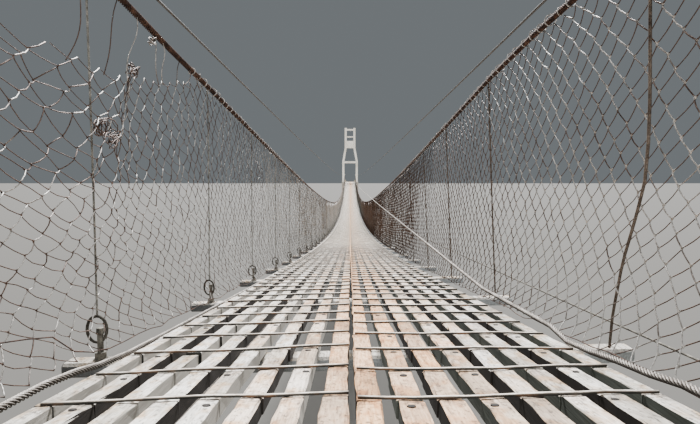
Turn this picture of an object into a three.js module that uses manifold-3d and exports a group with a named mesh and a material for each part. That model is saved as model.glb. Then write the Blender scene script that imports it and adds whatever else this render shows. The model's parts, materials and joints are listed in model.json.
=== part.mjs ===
// Rope suspension footbridge, a 1:2 scale model: millimetres, +Z up, +Y along the bridge.
// The origin is on the ground under mid-span. The near end is at -Y.
import * as THREE from "three";
import { mergeVertices } from "three/addons/utils/BufferGeometryUtils.js";
import Module from "manifold-3d";

const wasm = await Module();
wasm.setup();

// Driving dimensions
const touch = 0.3; // gap between pieces that touch
const baySpacing = 600; // one crossbeam and one pair of hangers a bay
const sectionBays = [9, 10, 10, 10, 10, 9]; // bays in each deck section and net panel
const deckSag = 1020; // drop of the deck at mid-span
const deckEndHeight = 2000; // deck level at both ends, above the ground

const deckHalfWidth = 325;
const deckThickness = 20;
const seamWidth = 5; // slot between the two halves of the deck
const beamHalfLength = 428;
const beamWidth = 34;
const beamDepth = 30;
const houseDepth = 1; // how far the boards are let into the crossbeams

const handCable = { x: 367, radius: 6, aboveDeck: 526 };
const edgeRope = { x: 345, radius: 5.5 };
const bearingRope = { x: 200, radius: 7 };
const upperWire = { x: 357, radius: 2.5, aboveDeck: 490, sag: 179 };
const guardRope = { x: 420, radius: 3, aboveDeck: -24, sag: 480 };
const ropeSides = 6;
const wireSides = 4;

const netPlaneX = 370;
const netThickness = 5;
const netWire = 5;
const hangerWidth = 8;
const netEdge = 6;

const abutmentLength = 2100;
const abutmentWidth = 1120;
const anchorSize = { x: 150, y: 260, z: 140 };
const anchorFrontSetback = 1750; // from the deck end to the face that takes the hand cable

const postDepth = 150;
const postSetback = 10; // from the deck end to the post's front
const post = { inner: 390, outer: 527, topInner: 228, topOuter: 365 };
const postLevels = { shoulder: 1414, waist: 2308, top: 3673 };
const corbel = { inner: 350, foot: 430, seat: 470 }; // carries the hand cable past the post
const lintel = { bottom: 1284, top: 1414, depth: 120 };
const namePanel = { bottom: 2308, top: 2795, depth: 80 };
const upperBeam = { bottom: 3030, top: 3110, depth: 110 };
const topBeam = { bottom: 3500, top: 3600, depth: 110 };

const bayCount = sectionBays.reduce((sum, bays) => sum + bays, 0);
const span = bayCount * baySpacing;
const halfSpan = span / 2;
const beamTop = -deckThickness;

const weatheredTimber = new THREE.MeshStandardMaterial({ color: 0xb9b5aa, roughness: 0.9, metalness: 0 });
const rustySteel = new THREE.MeshStandardMaterial({ color: 0x6b4a38, roughness: 0.75, metalness: 0.6 });
const wireRopeSteel = new THREE.MeshStandardMaterial({ color: 0x8c857a, roughness: 0.6, metalness: 0.8 });
const galvanisedWire = new THREE.MeshStandardMaterial({ color: 0x8f8a86, roughness: 0.5, metalness: 0.8 });
const concrete = new THREE.MeshStandardMaterial({ color: 0xd9d3c3, roughness: 0.9, metalness: 0 });

const bridge = new THREE.Group();

function addPiece(name, geometry, material) {
  const mesh = new THREE.Mesh(geometry, material);
  mesh.name = name;
  bridge.add(mesh);
  return mesh;
}

// Drop of a sagging line below its ends, at a place along the bridge
function dropAt(y, sag) {
  const share = (y + halfSpan) / span;
  return 4 * sag * share * (1 - share);
}

function deckLevelAt(y) {
  return deckEndHeight - dropAt(y, deckSag);
}

// Moves every vertex of a shape that was drawn on a level deck down to the sagging one
function layOnDeck(geometry) {
  const position = geometry.getAttribute("position");
  for (let i = 0; i < position.count; i++) {
    position.setZ(i, position.getZ(i) + deckLevelAt(position.getY(i)));
  }
  return geometry;
}

function box(x0, x1, y0, y1, z0, z1, lengthSteps = 1) {
  const geometry = new THREE.BoxGeometry(x1 - x0, y1 - y0, z1 - z0, 1, lengthSteps, 1);
  return geometry.translate((x0 + x1) / 2, (y0 + y1) / 2, (z0 + z1) / 2);
}

function toSolid(geometry) {
  const bare = geometry.clone();
  bare.deleteAttribute("normal");
  bare.deleteAttribute("uv");
  const merged = mergeVertices(bare, 1e-3);
  const mesh = new wasm.Mesh({
    numProp: 3,
    vertProperties: merged.getAttribute("position").array,
    triVerts: new Uint32Array(merged.index.array),
  });
  return new wasm.Manifold(mesh);
}

function toGeometry(solid) {
  const mesh = solid.getMesh();
  const geometry = new THREE.BufferGeometry();
  geometry.setAttribute("position", new THREE.BufferAttribute(mesh.vertProperties, 3));
  geometry.setIndex(new THREE.BufferAttribute(mesh.triVerts, 1));
  geometry.computeVertexNormals();
  return geometry;
}

// Rope through a list of {y, z} points at one x, with upright rings
function ropeThrough(x, radius, points, sides) {
  const steps = points.length - 1;
  const geometry = new THREE.CylinderGeometry(radius, radius, steps, sides, steps);
  const position = geometry.getAttribute("position");
  for (let i = 0; i < position.count; i++) {
    const point = points[Math.round(position.getY(i) + steps / 2)];
    position.setXYZ(i, x + position.getX(i), point.y, point.z + position.getZ(i));
  }
  geometry.computeVertexNormals();
  return geometry;
}

// Stations at both deck ends and at every second crossbeam
function ropeStations() {
  const stations = [touch - halfSpan];
  for (let bay = 0; bay < bayCount; bay += 2) {
    stations.push((bay + 0.5) * baySpacing - halfSpan);
  }
  stations.push(halfSpan - 0.5 * baySpacing, halfSpan - touch);
  return stations;
}

function ropeAtDeck(offset) {
  return ropeStations().map((y) => ({ y, z: deckLevelAt(y) + offset }));
}

// Rope with a sag of its own, in even steps between the two ends
function ropeWithSag(startY, endY, startZ, endZ, sag, steps) {
  const points = [];
  for (let i = 0; i <= steps; i++) {
    const share = i / steps;
    const chord = THREE.MathUtils.lerp(startZ, endZ, share);
    points.push({
      y: THREE.MathUtils.lerp(startY, endY, share),
      z: chord - 4 * sag * share * (1 - share),
    });
  }
  return points;
}

// Deck section: two board halves on the crossbeams of its bays
function deckSection(startY, bays) {
  const endY = startY + bays * baySpacing;
  let solid = null;
  for (let bay = 0; bay < bays; bay++) {
    const y = startY + (bay + 0.5) * baySpacing;
    const beam = box(
      -beamHalfLength,
      beamHalfLength,
      y - beamWidth / 2,
      y + beamWidth / 2,
      beamTop - beamDepth,
      beamTop,
    );
    const beamSolid = toSolid(layOnDeck(beam));
    solid = solid ? solid.add(beamSolid) : beamSolid;
  }
  for (const side of [-1, 1]) {
    const edges = [(side * seamWidth) / 2, side * deckHalfWidth].sort((a, b) => a - b);
    const gapAtStart = startY > -halfSpan ? touch / 2 : touch;
    const gapAtEnd = endY < halfSpan ? touch / 2 : touch;
    const half = box(
      edges[0],
      edges[1],
      startY + gapAtStart,
      endY - gapAtEnd,
      beamTop - houseDepth,
      0,
      bays * 2,
    );
    solid = solid.add(toSolid(layOnDeck(half)));
  }
  return toGeometry(solid);
}

// Triangle inside three bars, from the bars' centre lines and half widths
function insetTriangle(corners, halfWidths) {
  const centre = new THREE.Vector2();
  corners.forEach((corner) => centre.add(corner));
  centre.divideScalar(3);
  const lines = corners.map((corner, i) => {
    const along = corners[(i + 1) % 3].clone().sub(corner).normalize();
    const inward = new THREE.Vector2(-along.y, along.x);
    if (inward.dot(centre.clone().sub(corner)) < 0) inward.negate();
    return { inward, reach: inward.dot(corner) + halfWidths[i] };
  });
  return corners.map((_, i) => {
    const a = lines[i];
    const b = lines[(i + 2) % 3];
    const cross = a.inward.x * b.inward.y - a.inward.y * b.inward.x;
    const u = (a.reach * b.inward.y - b.reach * a.inward.y) / cross;
    const v = (b.reach * a.inward.x - a.reach * b.inward.x) / cross;
    return new THREE.Vector2(u, v);
  });
}

// Net panel: hangers at the crossbeams, an edge wire below and above, and crossed wires between.
// Its outline and holes are drawn in the upright plane of the net, already on the sagging line.
function netPanel(startY, bays, side) {
  const endY = startY + bays * baySpacing - touch / 2;
  const firstY = startY + touch / 2;
  const low = beamTop + touch + netEdge / 2;
  const high = handCable.aboveDeck - handCable.radius - touch - netEdge / 2;
  const middle = (low + high) / 2;
  const point = (y, z) => new THREE.Vector2(y, z);
  const onDeck = ({ x, y }) => point(x, y + deckLevelAt(x));
  const posts = [firstY + netWire / 2];
  for (let bay = 0; bay < bays; bay++) posts.push(startY + (bay + 0.5) * baySpacing);
  posts.push(endY - netWire / 2);

  const stops = [firstY, ...posts.slice(1, -1), endY];
  const lowerLine = stops.map((y) => point(y, low - netEdge / 2));
  const upperLine = stops.map((y) => point(y, high + netEdge / 2)).reverse();
  const outline = new THREE.Shape([...lowerLine, ...upperLine].map(onDeck));

  const edge = netEdge / 2;
  const wire = netWire / 2;
  const cutHole = (corners, halfWidths) => {
    outline.holes.push(new THREE.Path(insetTriangle(corners, halfWidths).map(onDeck)));
  };
  for (let i = 0; i + 1 < posts.length; i++) {
    const [a, b] = [posts[i], posts[i + 1]];
    const leftHalf = i === 0 ? wire : hangerWidth / 2;
    const rightHalf = i + 2 === posts.length ? wire : hangerWidth / 2;
    let crossing = point((a + b) / 2, middle);
    if (i === 0) crossing = point(a, middle);
    if (i + 2 === posts.length) crossing = point(b, middle);
    if (i > 0) cutHole([point(a, high), point(a, low), crossing], [leftHalf, wire, wire]);
    if (i + 2 < posts.length) cutHole([point(b, low), point(b, high), crossing], [rightHalf, wire, wire]);
    if (i === 0) {
      cutHole([point(a, low), point(b, low), crossing], [edge, wire, leftHalf]);
      cutHole([point(b, high), point(a, high), crossing], [edge, leftHalf, wire]);
    } else if (i + 2 === posts.length) {
      cutHole([point(a, low), point(b, low), crossing], [edge, rightHalf, wire]);
      cutHole([point(b, high), point(a, high), crossing], [edge, wire, rightHalf]);
    } else {
      cutHole([point(a, low), point(b, low), crossing], [edge, wire, wire]);
      cutHole([point(b, high), point(a, high), crossing], [edge, wire, wire]);
    }
  }
  const flat = new THREE.ExtrudeGeometry(outline, { depth: netThickness, bevelEnabled: false });
  const turned = new THREE.Matrix4().makeBasis(
    new THREE.Vector3(0, 1, 0),
    new THREE.Vector3(0, 0, 1),
    new THREE.Vector3(1, 0, 0),
  );
  flat.applyMatrix4(turned);
  return flat.translate(side * netPlaneX - netThickness / 2, 0, 0);
}

// Height of the hand cable's centre where it meets the posts, above the deck ends
function saddleHeight() {
  return deckLevelAt(halfSpan + postSetback) - deckEndHeight + handCable.aboveDeck;
}

// Gate post: upright to the lintel, leaning in to the name panel, upright again above it,
// with a corbel on its inner face under the hand cable
function gatePost(side, endSide) {
  const seat = saddleHeight() - handCable.radius - touch;
  const outline = [
    [post.inner, touch],
    [post.outer, touch],
    [post.outer, postLevels.shoulder],
    [post.topOuter, postLevels.waist],
    [post.topOuter, postLevels.top],
    [post.topInner, postLevels.top],
    [post.topInner, postLevels.waist],
    [post.inner, postLevels.shoulder],
    [post.inner, seat],
    [corbel.inner, seat],
    [corbel.inner, corbel.seat],
    [post.inner, corbel.foot],
  ];
  const shape = new THREE.Shape(outline.map(([x, z]) => new THREE.Vector2(side * x, z)));
  const geometry = new THREE.ExtrudeGeometry(shape, { depth: postDepth, bevelEnabled: false });
  geometry.rotateX(Math.PI / 2);
  const back = halfSpan + postSetback;
  const frontY = endSide > 0 ? back + postDepth : -back;
  return geometry.translate(0, frontY, deckEndHeight);
}

// Level member between the two posts of a gate
function crossMember(member, halfWidth, endSide) {
  const middleY = endSide * (halfSpan + postSetback + postDepth / 2);
  return box(
    touch - halfWidth,
    halfWidth - touch,
    middleY - member.depth / 2,
    middleY + member.depth / 2,
    deckEndHeight + member.bottom,
    deckEndHeight + member.top,
  );
}

function abutment(endSide) {
  const ends = [endSide * halfSpan, endSide * (halfSpan + abutmentLength)].sort((a, b) => a - b);
  return box(-abutmentWidth / 2, abutmentWidth / 2, ends[0], ends[1], 0, deckEndHeight);
}

function anchorBlock(side, endSide) {
  const front = halfSpan + anchorFrontSetback;
  const ends = [endSide * front, endSide * (front + anchorSize.y)].sort((a, b) => a - b);
  const middleX = side * handCable.x;
  return box(
    middleX - anchorSize.x / 2,
    middleX + anchorSize.x / 2,
    ends[0],
    ends[1],
    deckEndHeight + touch,
    deckEndHeight + touch + anchorSize.z,
  );
}

// Hand cable: anchor, corbel, the sagging span, corbel and anchor
function handCablePoints() {
  const anchorY = halfSpan + anchorFrontSetback - touch;
  const anchorZ = deckEndHeight + anchorSize.z / 2;
  const postFrontY = halfSpan + postSetback;
  const postBackY = postFrontY + postDepth;
  const saddleZ = deckEndHeight + saddleHeight();
  const middle = ropeAtDeck(handCable.aboveDeck).slice(1, -1);
  return [
    { y: -anchorY, z: anchorZ },
    { y: -postBackY, z: saddleZ },
    { y: -postFrontY, z: saddleZ },
    ...middle,
    { y: postFrontY, z: saddleZ },
    { y: postBackY, z: saddleZ },
    { y: anchorY, z: anchorZ },
  ];
}

// Right edge rope: on the first two crossbeams, and from there straight and taut to the far end
function tautRopePoints(offset) {
  const onBeams = [touch - halfSpan, 0.5 * baySpacing - halfSpan, 1.5 * baySpacing - halfSpan];
  const lying = onBeams.map((y) => ({ y, z: deckLevelAt(y) + offset }));
  const last = lying[lying.length - 1];
  const farZ = deckEndHeight + offset;
  const tautSag = 20;
  return [...lying, ...ropeWithSag(last.y, halfSpan - touch, last.z, farZ, tautSag, 8).slice(1)];
}

const endNames = [
  ["near", -1],
  ["far", 1],
];
const sideNames = [
  ["left", -1],
  ["right", 1],
];

for (const [endName, endSide] of endNames) {
  addPiece(`${endName}_abutment`, abutment(endSide), concrete);
  for (const [sideName, side] of sideNames) {
    addPiece(`${endName}_${sideName}_post`, gatePost(side, endSide), concrete);
    addPiece(`${endName}_${sideName}_anchor_block`, anchorBlock(side, endSide), concrete);
  }
  addPiece(`${endName}_lintel`, crossMember(lintel, post.inner, endSide), concrete);
  addPiece(`${endName}_name_panel`, crossMember(namePanel, post.topInner, endSide), concrete);
  addPiece(`${endName}_upper_beam`, crossMember(upperBeam, post.topInner, endSide), concrete);
  addPiece(`${endName}_top_beam`, crossMember(topBeam, post.topInner, endSide), concrete);
}

let sectionStart = -halfSpan;
sectionBays.forEach((bays, i) => {
  addPiece(`deck_section_${i + 1}`, deckSection(sectionStart, bays), weatheredTimber);
  for (const [sideName, side] of sideNames) {
    addPiece(`${sideName}_net_panel_${i + 1}`, netPanel(sectionStart, bays, side), galvanisedWire);
  }
  sectionStart += bays * baySpacing;
});

const chordRise = (deckSag * (2 * baySpacing) ** 2) / span ** 2; // a two-bay chord lies this much above the curve
const edgeRopeOffset = beamTop + touch + edgeRope.radius;
const bearingOffset = beamTop - beamDepth - touch - chordRise - bearingRope.radius;
for (const [sideName, side] of sideNames) {
  const handPoints = handCablePoints();
  addPiece(
    `${sideName}_hand_cable`,
    ropeThrough(side * handCable.x, handCable.radius, handPoints, ropeSides),
    rustySteel,
  );
  addPiece(
    `${sideName}_bearing_rope`,
    ropeThrough(side * bearingRope.x, bearingRope.radius, ropeAtDeck(bearingOffset), ropeSides),
    wireRopeSteel,
  );
  const edgePoints = side < 0 ? ropeAtDeck(edgeRopeOffset) : tautRopePoints(edgeRopeOffset);
  addPiece(
    `${sideName}_edge_rope`,
    ropeThrough(side * edgeRope.x, edgeRope.radius, edgePoints, ropeSides),
    wireRopeSteel,
  );
  const wireEnd = halfSpan + postSetback - touch;
  const wireZ = deckEndHeight + upperWire.aboveDeck;
  addPiece(
    `${sideName}_upper_wire`,
    ropeThrough(
      side * upperWire.x,
      upperWire.radius,
      ropeWithSag(-wireEnd, wireEnd, wireZ, wireZ, upperWire.sag, 12),
      wireSides,
    ),
    galvanisedWire,
  );
}

const guardEnd = halfSpan - touch;
const guardZ = deckEndHeight + guardRope.aboveDeck;
addPiece(
  "right_guard_rope",
  ropeThrough(
    guardRope.x,
    guardRope.radius,
    ropeWithSag(-guardEnd, guardEnd, guardZ, guardZ, guardRope.sag, 20),
    wireSides,
  ),
  wireRopeSteel,
);

export default bridge;
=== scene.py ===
import json
import math

import bpy
import numpy as np
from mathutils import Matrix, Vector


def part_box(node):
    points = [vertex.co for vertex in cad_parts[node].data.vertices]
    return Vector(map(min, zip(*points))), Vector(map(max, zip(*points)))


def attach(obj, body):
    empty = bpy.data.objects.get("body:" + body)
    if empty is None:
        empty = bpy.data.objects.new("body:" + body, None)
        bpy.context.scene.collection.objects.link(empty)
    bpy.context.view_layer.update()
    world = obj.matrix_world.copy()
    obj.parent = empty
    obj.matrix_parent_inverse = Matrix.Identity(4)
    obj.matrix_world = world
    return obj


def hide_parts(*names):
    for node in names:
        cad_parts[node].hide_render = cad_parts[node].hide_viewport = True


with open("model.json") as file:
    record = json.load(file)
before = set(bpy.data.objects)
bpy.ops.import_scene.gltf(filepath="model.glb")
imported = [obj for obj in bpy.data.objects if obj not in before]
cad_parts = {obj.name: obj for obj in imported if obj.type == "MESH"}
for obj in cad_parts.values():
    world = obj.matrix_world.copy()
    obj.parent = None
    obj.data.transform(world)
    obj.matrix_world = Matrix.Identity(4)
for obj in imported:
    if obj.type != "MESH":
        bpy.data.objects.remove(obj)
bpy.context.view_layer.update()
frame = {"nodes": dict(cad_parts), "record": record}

# Shared places in metres: the deck hangs between the abutments, the hand cables follow it above
deck = {
    "sag": 1.020,
    "thickness": 0.020,
    "baySpacing": 0.600,
    "handHeight": 0.526,  # hand cable's centre above the boards
    "handRadius": 0.006,
}
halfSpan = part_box("far_abutment")[0].y
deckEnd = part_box("near_abutment")[1].z
bayCount = round(2 * halfSpan / deck["baySpacing"])
bays = -halfSpan + (np.arange(bayCount) + 0.5) * deck["baySpacing"]
sectionBoxes = [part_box(f"deck_section_{i + 1}") for i in range(6)]
handX = (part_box("right_hand_cable")[0].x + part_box("right_hand_cable")[1].x) / 2
sides = (("left", -1), ("right", 1))


def deckLevel(y):
    share = (np.asarray(y) + halfSpan) / (2 * halfSpan)
    return deckEnd - 4 * deck["sag"] * share * (1 - share)


def smoothStep(value, start, end):
    share = np.clip((value - start) / (end - start), 0, 1)
    return share * share * (3 - 2 * share)


# The near end has settled unevenly: the boards' left half leans outwards, the crossbeams lean to the left,
# and the hand cables are pulled tighter than the deck, most on the right
lean = {
    "boards": 0.030,
    "boardsFrom": -16.5,
    "boardsTo": -14.8,
    "beams": 0.0127,
    "beamsFrom": -14.5,
    "beamsTo": -13.0,
    "beamPlaces": (-16.5, -15.9, -15.3, -14.4),
    "beamLifts": (-0.0054, 0.0010, 0.0030, 0.0),
    "handPlaces": (-17.4, -16.4, -16.2, -15.9, -14.5, -11.5, -8.0, -2.0),
    "handRises": {
        -1: (0, 0.010, 0.010, 0.014, 0.020, 0.022, 0.016, 0),
        1: (0, 0.024, 0.038, 0.049, 0.053, 0.060, 0.040, 0),
    },
}


def boardTop(x, y):
    fading = 1 - smoothStep(y, lean["boardsFrom"], lean["boardsTo"])
    return deckLevel(y) + np.minimum(x, 0) * lean["boards"] * fading


def beamTop(x, y):
    fading = 1 - smoothStep(y, lean["beamsFrom"], lean["beamsTo"])
    lift = np.interp(y, lean["beamPlaces"], lean["beamLifts"])
    return deckLevel(y) - deck["thickness"] + lift + lean["beams"] * x * fading


def handAbove(side, y):  # height of the hand cable above the boards
    return deck["handHeight"] + np.interp(y, lean["handPlaces"], lean["handRises"][side])


def hexColour(text):  # sRGB hex to linear
    parts = [int(text[i:i + 2], 16) / 255 for i in (1, 3, 5)]
    return [c / 12.92 if c <= 0.04045 else ((c + 0.055) / 1.055) ** 2.4 for c in parts] + [1]


def addNode(tree, kind, settings=None, links=None):
    node = tree.nodes.new(kind)
    for key, value in (settings or {}).items():
        if isinstance(key, str) and hasattr(node, key):
            setattr(node, key, value)
        else:
            node.inputs[key].default_value = value
    for key, source in (links or {}).items():
        tree.links.new(source, node.inputs[key])
    return node


def newMaterial(name, roughness, metallic=0.0):
    material = bpy.data.materials.new(name)
    material.use_nodes = True
    tree = material.node_tree
    tree.nodes.clear()
    output = tree.nodes.new("ShaderNodeOutputMaterial")
    shader = addNode(tree, "ShaderNodeBsdfPrincipled", {"Roughness": roughness, "Metallic": metallic})
    tree.links.new(shader.outputs["BSDF"], output.inputs["Surface"])
    return material, tree, shader


def ramp(tree, source, stops):  # stops: (place, hex)
    node = addNode(tree, "ShaderNodeValToRGB", links={"Fac": source})
    elements = node.color_ramp.elements
    while len(elements) < len(stops):
        elements.new(0.5)
    for element, (place, colour) in zip(elements, stops):
        element.position = place
        element.color = hexColour(colour)
    return node.outputs["Color"]


def blendColours(tree, factor, first, second, kind="MIX"):
    node = addNode(tree, "ShaderNodeMix", {"data_type": "RGBA", "blend_type": kind})
    for index, source in ((0, factor), (6, first), (7, second)):
        if hasattr(source, "links"):
            tree.links.new(source, node.inputs[index])
        else:
            node.inputs[index].default_value = source
    return node.outputs[2]


def attribute(tree, name):
    return addNode(tree, "ShaderNodeAttribute", {"attribute_name": name}).outputs["Fac"]


def noiseOn(tree, size, detail=4.0, shift=None):  # size: pattern in millimetres along x, y and z
    place = addNode(tree, "ShaderNodeTexCoord").outputs["Object"]
    if shift:
        place = addNode(tree, "ShaderNodeVectorMath", {"operation": "ADD"}, {0: place, 1: shift}).outputs[0]
    mapping = addNode(tree, "ShaderNodeMapping", {"Scale": [1000 / s for s in size]}, {"Vector": place})
    settings = {"Scale": 1.0, "Detail": detail, "Roughness": 0.6}
    return addNode(tree, "ShaderNodeTexNoise", settings, {"Vector": mapping.outputs["Vector"]}).outputs["Fac"]


def facingUp(tree, low, high):  # 0 on sides and undersides, 1 on tops
    normal = addNode(tree, "ShaderNodeNewGeometry").outputs["Normal"]
    upward = addNode(tree, "ShaderNodeSeparateXYZ", links={"Vector": normal}).outputs["Z"]
    settings = {"From Min": low, "From Max": high}
    return addNode(tree, "ShaderNodeMapRange", settings, {"Value": upward}).outputs["Result"]


def addBump(tree, shader, height, distance, strength=1.0):
    settings = {"Strength": strength, "Distance": distance}
    bump = addNode(tree, "ShaderNodeBump", settings, {"Height": height})
    tree.links.new(bump.outputs["Normal"], shader.inputs["Normal"])


# Weathered softwood, sawn and left bare: silver-grey top worn pale by feet, browner in the middle of the
# deck, painted light and shade on the sides, fine grain lines
def makeWeatheredTimber(name, paleSides):
    size = {  # millimetres
        "grain": (2.6, 80.0, 2.6),
        "blotch": (40.0, 90.0, 40.0),
        "speck": (4.5, 7.0, 4.5),
        "wear": (22.0, 34.0, 22.0),
        "darkerNearEnds": (9.0, 6.0, 9.0),
    }
    material, tree, shader = newMaterial(name, 0.85)
    shift = attribute(tree, "tone")
    grain = noiseOn(tree, size["grain"], 6.0, shift)
    blotch = noiseOn(tree, size["blotch"], 3.0, shift)
    speck = noiseOn(tree, size["speck"], 3.0)
    cool = ramp(tree, grain, [(0.30, "#8f8c87"), (0.44, "#d2cec7"), (0.6, "#ece8e2"), (0.76, "#f8f5f0")])
    warm = ramp(tree, grain, [(0.30, "#875f3a"), (0.44, "#d6a577"), (0.6, "#f3c598"), (0.76, "#fddbb4")])
    top = blendColours(tree, attribute(tree, "warmth"), cool, warm)
    stain = ramp(tree, blotch, [(0.34, "#8a7f72"), (0.54, "#ffffff")])
    top = blendColours(tree, 0.5, top, stain, "MULTIPLY")
    dirt = ramp(tree, speck, [(0.33, "#3b332b"), (0.44, "#ffffff")])
    top = blendColours(tree, 0.7, top, dirt, "MULTIPLY")
    wear = ramp(tree, noiseOn(tree, size["wear"], 2.0, shift), [(0.48, "#ffffff"), (0.66, "#dfbd92")])
    top = blendColours(tree, 0.75, top, wear, "MULTIPLY")
    # darker patches on the top near the board ends, by the strips
    darkerNearEnds = ramp(tree, noiseOn(tree, size["darkerNearEnds"], 4.0), [(0.38, "#54432f"), (0.56, "#ffffff")])
    top = blendColours(tree, attribute(tree, "ends"), top, darkerNearEnds, "MULTIPLY")
    tone = ramp(tree, attribute(tree, "tone"), [(0.0, "#c9c5be"), (0.5, "#ecebe8"), (1.0, "#ffffff")])
    top = blendColours(tree, 1.0, top, tone, "MULTIPLY")
    # the side colours are painted light and shade: paleSides as passed in, and near black as painted shade
    paleSide = ramp(tree, grain, [(0.3, paleSides[0]), (0.7, paleSides[1])])
    darkSide = ramp(tree, grain, [(0.3, "#140f0b"), (0.7, "#2a211a")])
    side = blendColours(tree, attribute(tree, "paintedShade"), paleSide, darkSide)
    # on some boards the sides are painted pale as sunlit, and painted dark as shade over the last millimetres
    # before the next board, under the strip
    settings = {"From Min": 0.93, "From Max": 1.0}
    gap = addNode(tree, "ShaderNodeMapRange", settings, {"Value": attribute(tree, "ends")}).outputs["Result"]
    dustyAndLit = blendColours(tree, gap, hexColour("#c6c0b6"), hexColour("#1e1c17"))
    side = blendColours(tree, attribute(tree, "dustAndLitSides"), side, dustyAndLit)
    # top against sides: the sides carry the painted light and shade
    colour = blendColours(tree, facingUp(tree, 0.35, 0.8), side, top)
    tree.links.new(colour, shader.inputs["Base Color"])
    addBump(tree, shader, grain, 0.0009, 0.8)
    return material


# Galvanised steel wire, drawn and hot-dipped: pale dull zinc where it holds, dark brown rust where it is gone
def makeNetWire(name, zincStops, rustStops):
    material, tree, shader = newMaterial(name, 0.5, 0.35)
    patches = noiseOn(tree, (90.0, 120.0, 90.0), 3.0)
    fine = noiseOn(tree, (4.0, 4.0, 4.0), 3.0)
    zinc = ramp(tree, fine, zincStops)
    rust = ramp(tree, fine, rustStops)
    worn = addNode(tree, "ShaderNodeMath", {"operation": "ADD"}, {0: patches, 1: attribute(tree, "rust")})
    settings = {"From Min": 0.6, "From Max": 0.85}
    amount = addNode(tree, "ShaderNodeMapRange", settings, {"Value": worn.outputs["Value"]})
    colour = blendColours(tree, amount.outputs["Result"], zinc, rust)
    tree.links.new(colour, shader.inputs["Base Color"])
    addBump(tree, shader, fine, 0.0003, 0.5)
    return material


# Rolled steel left bare to the weather: matt scale with darker pits, brown where it rusts, grey where it was
# once galvanised
def makeRustySteel(name, stops):
    material, tree, shader = newMaterial(name, 0.8, 0.3)
    scale = noiseOn(tree, (12.0, 20.0, 12.0), 5.0)
    fine = noiseOn(tree, (2.5, 2.5, 2.5), 3.0)
    base = ramp(tree, scale, stops)
    pits = ramp(tree, fine, [(0.3, "#4c382d"), (0.6, "#ffffff")])
    colour = blendColours(tree, 0.5, base, pits, "MULTIPLY")
    tree.links.new(colour, shader.inputs["Base Color"])
    addBump(tree, shader, fine, 0.0006)
    return material


# Twisted wire rope, laid from drawn steel wires, dusty and dry: grey-brown strands, with painted shade in the
# valleys between them and underneath
def makeWireRope():
    material, tree, shader = newMaterial("twistedWireRope", 0.55, 0.5)
    dustAndLitSides = noiseOn(tree, (20.0, 40.0, 20.0), 4.0)
    fine = noiseOn(tree, (1.4, 3.0, 1.4), 2.0)
    base = ramp(tree, dustAndLitSides, [(0.3, "#77706a"), (0.55, "#aaa39c"), (0.75, "#cdc8c2")])
    dirt = ramp(tree, fine, [(0.35, "#50483e"), (0.6, "#ffffff")])
    colour = blendColours(tree, 0.5, base, dirt, "MULTIPLY")
    # undersides painted darker as shade, then painted shade in the valleys between the strands
    colour = blendColours(tree, facingUp(tree, -0.35, 0.55), hexColour("#5a5249"), colour)
    colour = blendColours(tree, attribute(tree, "valley"), colour, hexColour("#453d35"))
    tree.links.new(colour, shader.inputs["Base Color"])
    addBump(tree, shader, fine, 0.0005)
    return material


# Mild steel rod, rolled and walked over: pale top, partly dust and partly painted highlight, underside
# painted dark as shade with patches of brown rust, and painted pale as lit on the far strips
def makeStripRod():
    material, tree, shader = newMaterial("dustySteelRodWithPaintedLight", 0.6, 0.35)
    fine = noiseOn(tree, (14.0, 3.0, 3.0), 4.0)
    dustyAndLit = ramp(tree, fine, [(0.3, "#8b7f74"), (0.5, "#cbc1b5"), (0.75, "#ece6de")])
    patches = noiseOn(tree, (30.0, 30.0, 30.0), 2.0)
    # underside painted near black as shade, with patches of brown rust
    under = ramp(tree, patches, [(0.35, "#17150f"), (0.52, "#2d2a24"), (0.66, "#5d412a")])
    # the far strips' undersides are painted pale as lit
    under = blendColours(tree, attribute(tree, "dustAndLitSides"), under, hexColour("#c3bbb0"))
    colour = blendColours(tree, facingUp(tree, 0.45, 0.92), under, dustyAndLit)
    tree.links.new(colour, shader.inputs["Base Color"])
    addBump(tree, shader, fine, 0.0004)
    return material


# Cast concrete: rain streaks and a gritty surface. The gates were whitewashed long ago and are cream; the
# abutments and anchor blocks are bare, greyer and rougher, with damp patches
def makeConcrete(name, stops, wear):
    material, tree, shader = newMaterial(name, 0.88)
    streak = noiseOn(tree, (70.0, 70.0, 900.0), 5.0)
    patch = noiseOn(tree, (400.0, 400.0, 400.0), 4.0)
    grit = noiseOn(tree, (4.0, 4.0, 4.0), 4.0)
    base = ramp(tree, patch, stops)
    streaks = ramp(tree, streak, [(0.32, "#8d8575"), (0.5, "#ffffff")])
    colour = blendColours(tree, wear, base, streaks, "MULTIPLY")
    specks = ramp(tree, grit, [(0.3, "#8a8274"), (0.6, "#ffffff")])
    colour = blendColours(tree, wear * 0.7, colour, specks, "MULTIPLY")
    tree.links.new(colour, shader.inputs["Base Color"])
    addBump(tree, shader, grit, 0.002, wear * 1.7)
    return material


# boards: sides painted olive-grey as shade
weatheredTimber = makeWeatheredTimber("weatheredTimber", ("#3b3f38", "#5c6058"))
# crossbeams: the same timber with its sides painted pale as lit
litSidesTimber = makeWeatheredTimber("timberWithLitSides", ("#8b9194", "#c2c8cb"))
wireRust = [(0.3, "#3a2a22"), (0.7, "#6b5346")]
galvanisedWire = makeNetWire("galvanisedWire", [(0.3, "#85817d"), (0.6, "#cfccc8")], wireRust)
wornRust = [(0.3, "#3a2a22"), (0.7, "#5b463a")]
wornWire = makeNetWire("wornWire", [(0.3, "#3b3835"), (0.6, "#5c5955")], wornRust)
cableRust = [(0.3, "#241711"), (0.5, "#49332a"), (0.68, "#755746"), (0.85, "#a58b78")]
rustySteel = makeRustySteel("rustySteel", cableRust)
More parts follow.
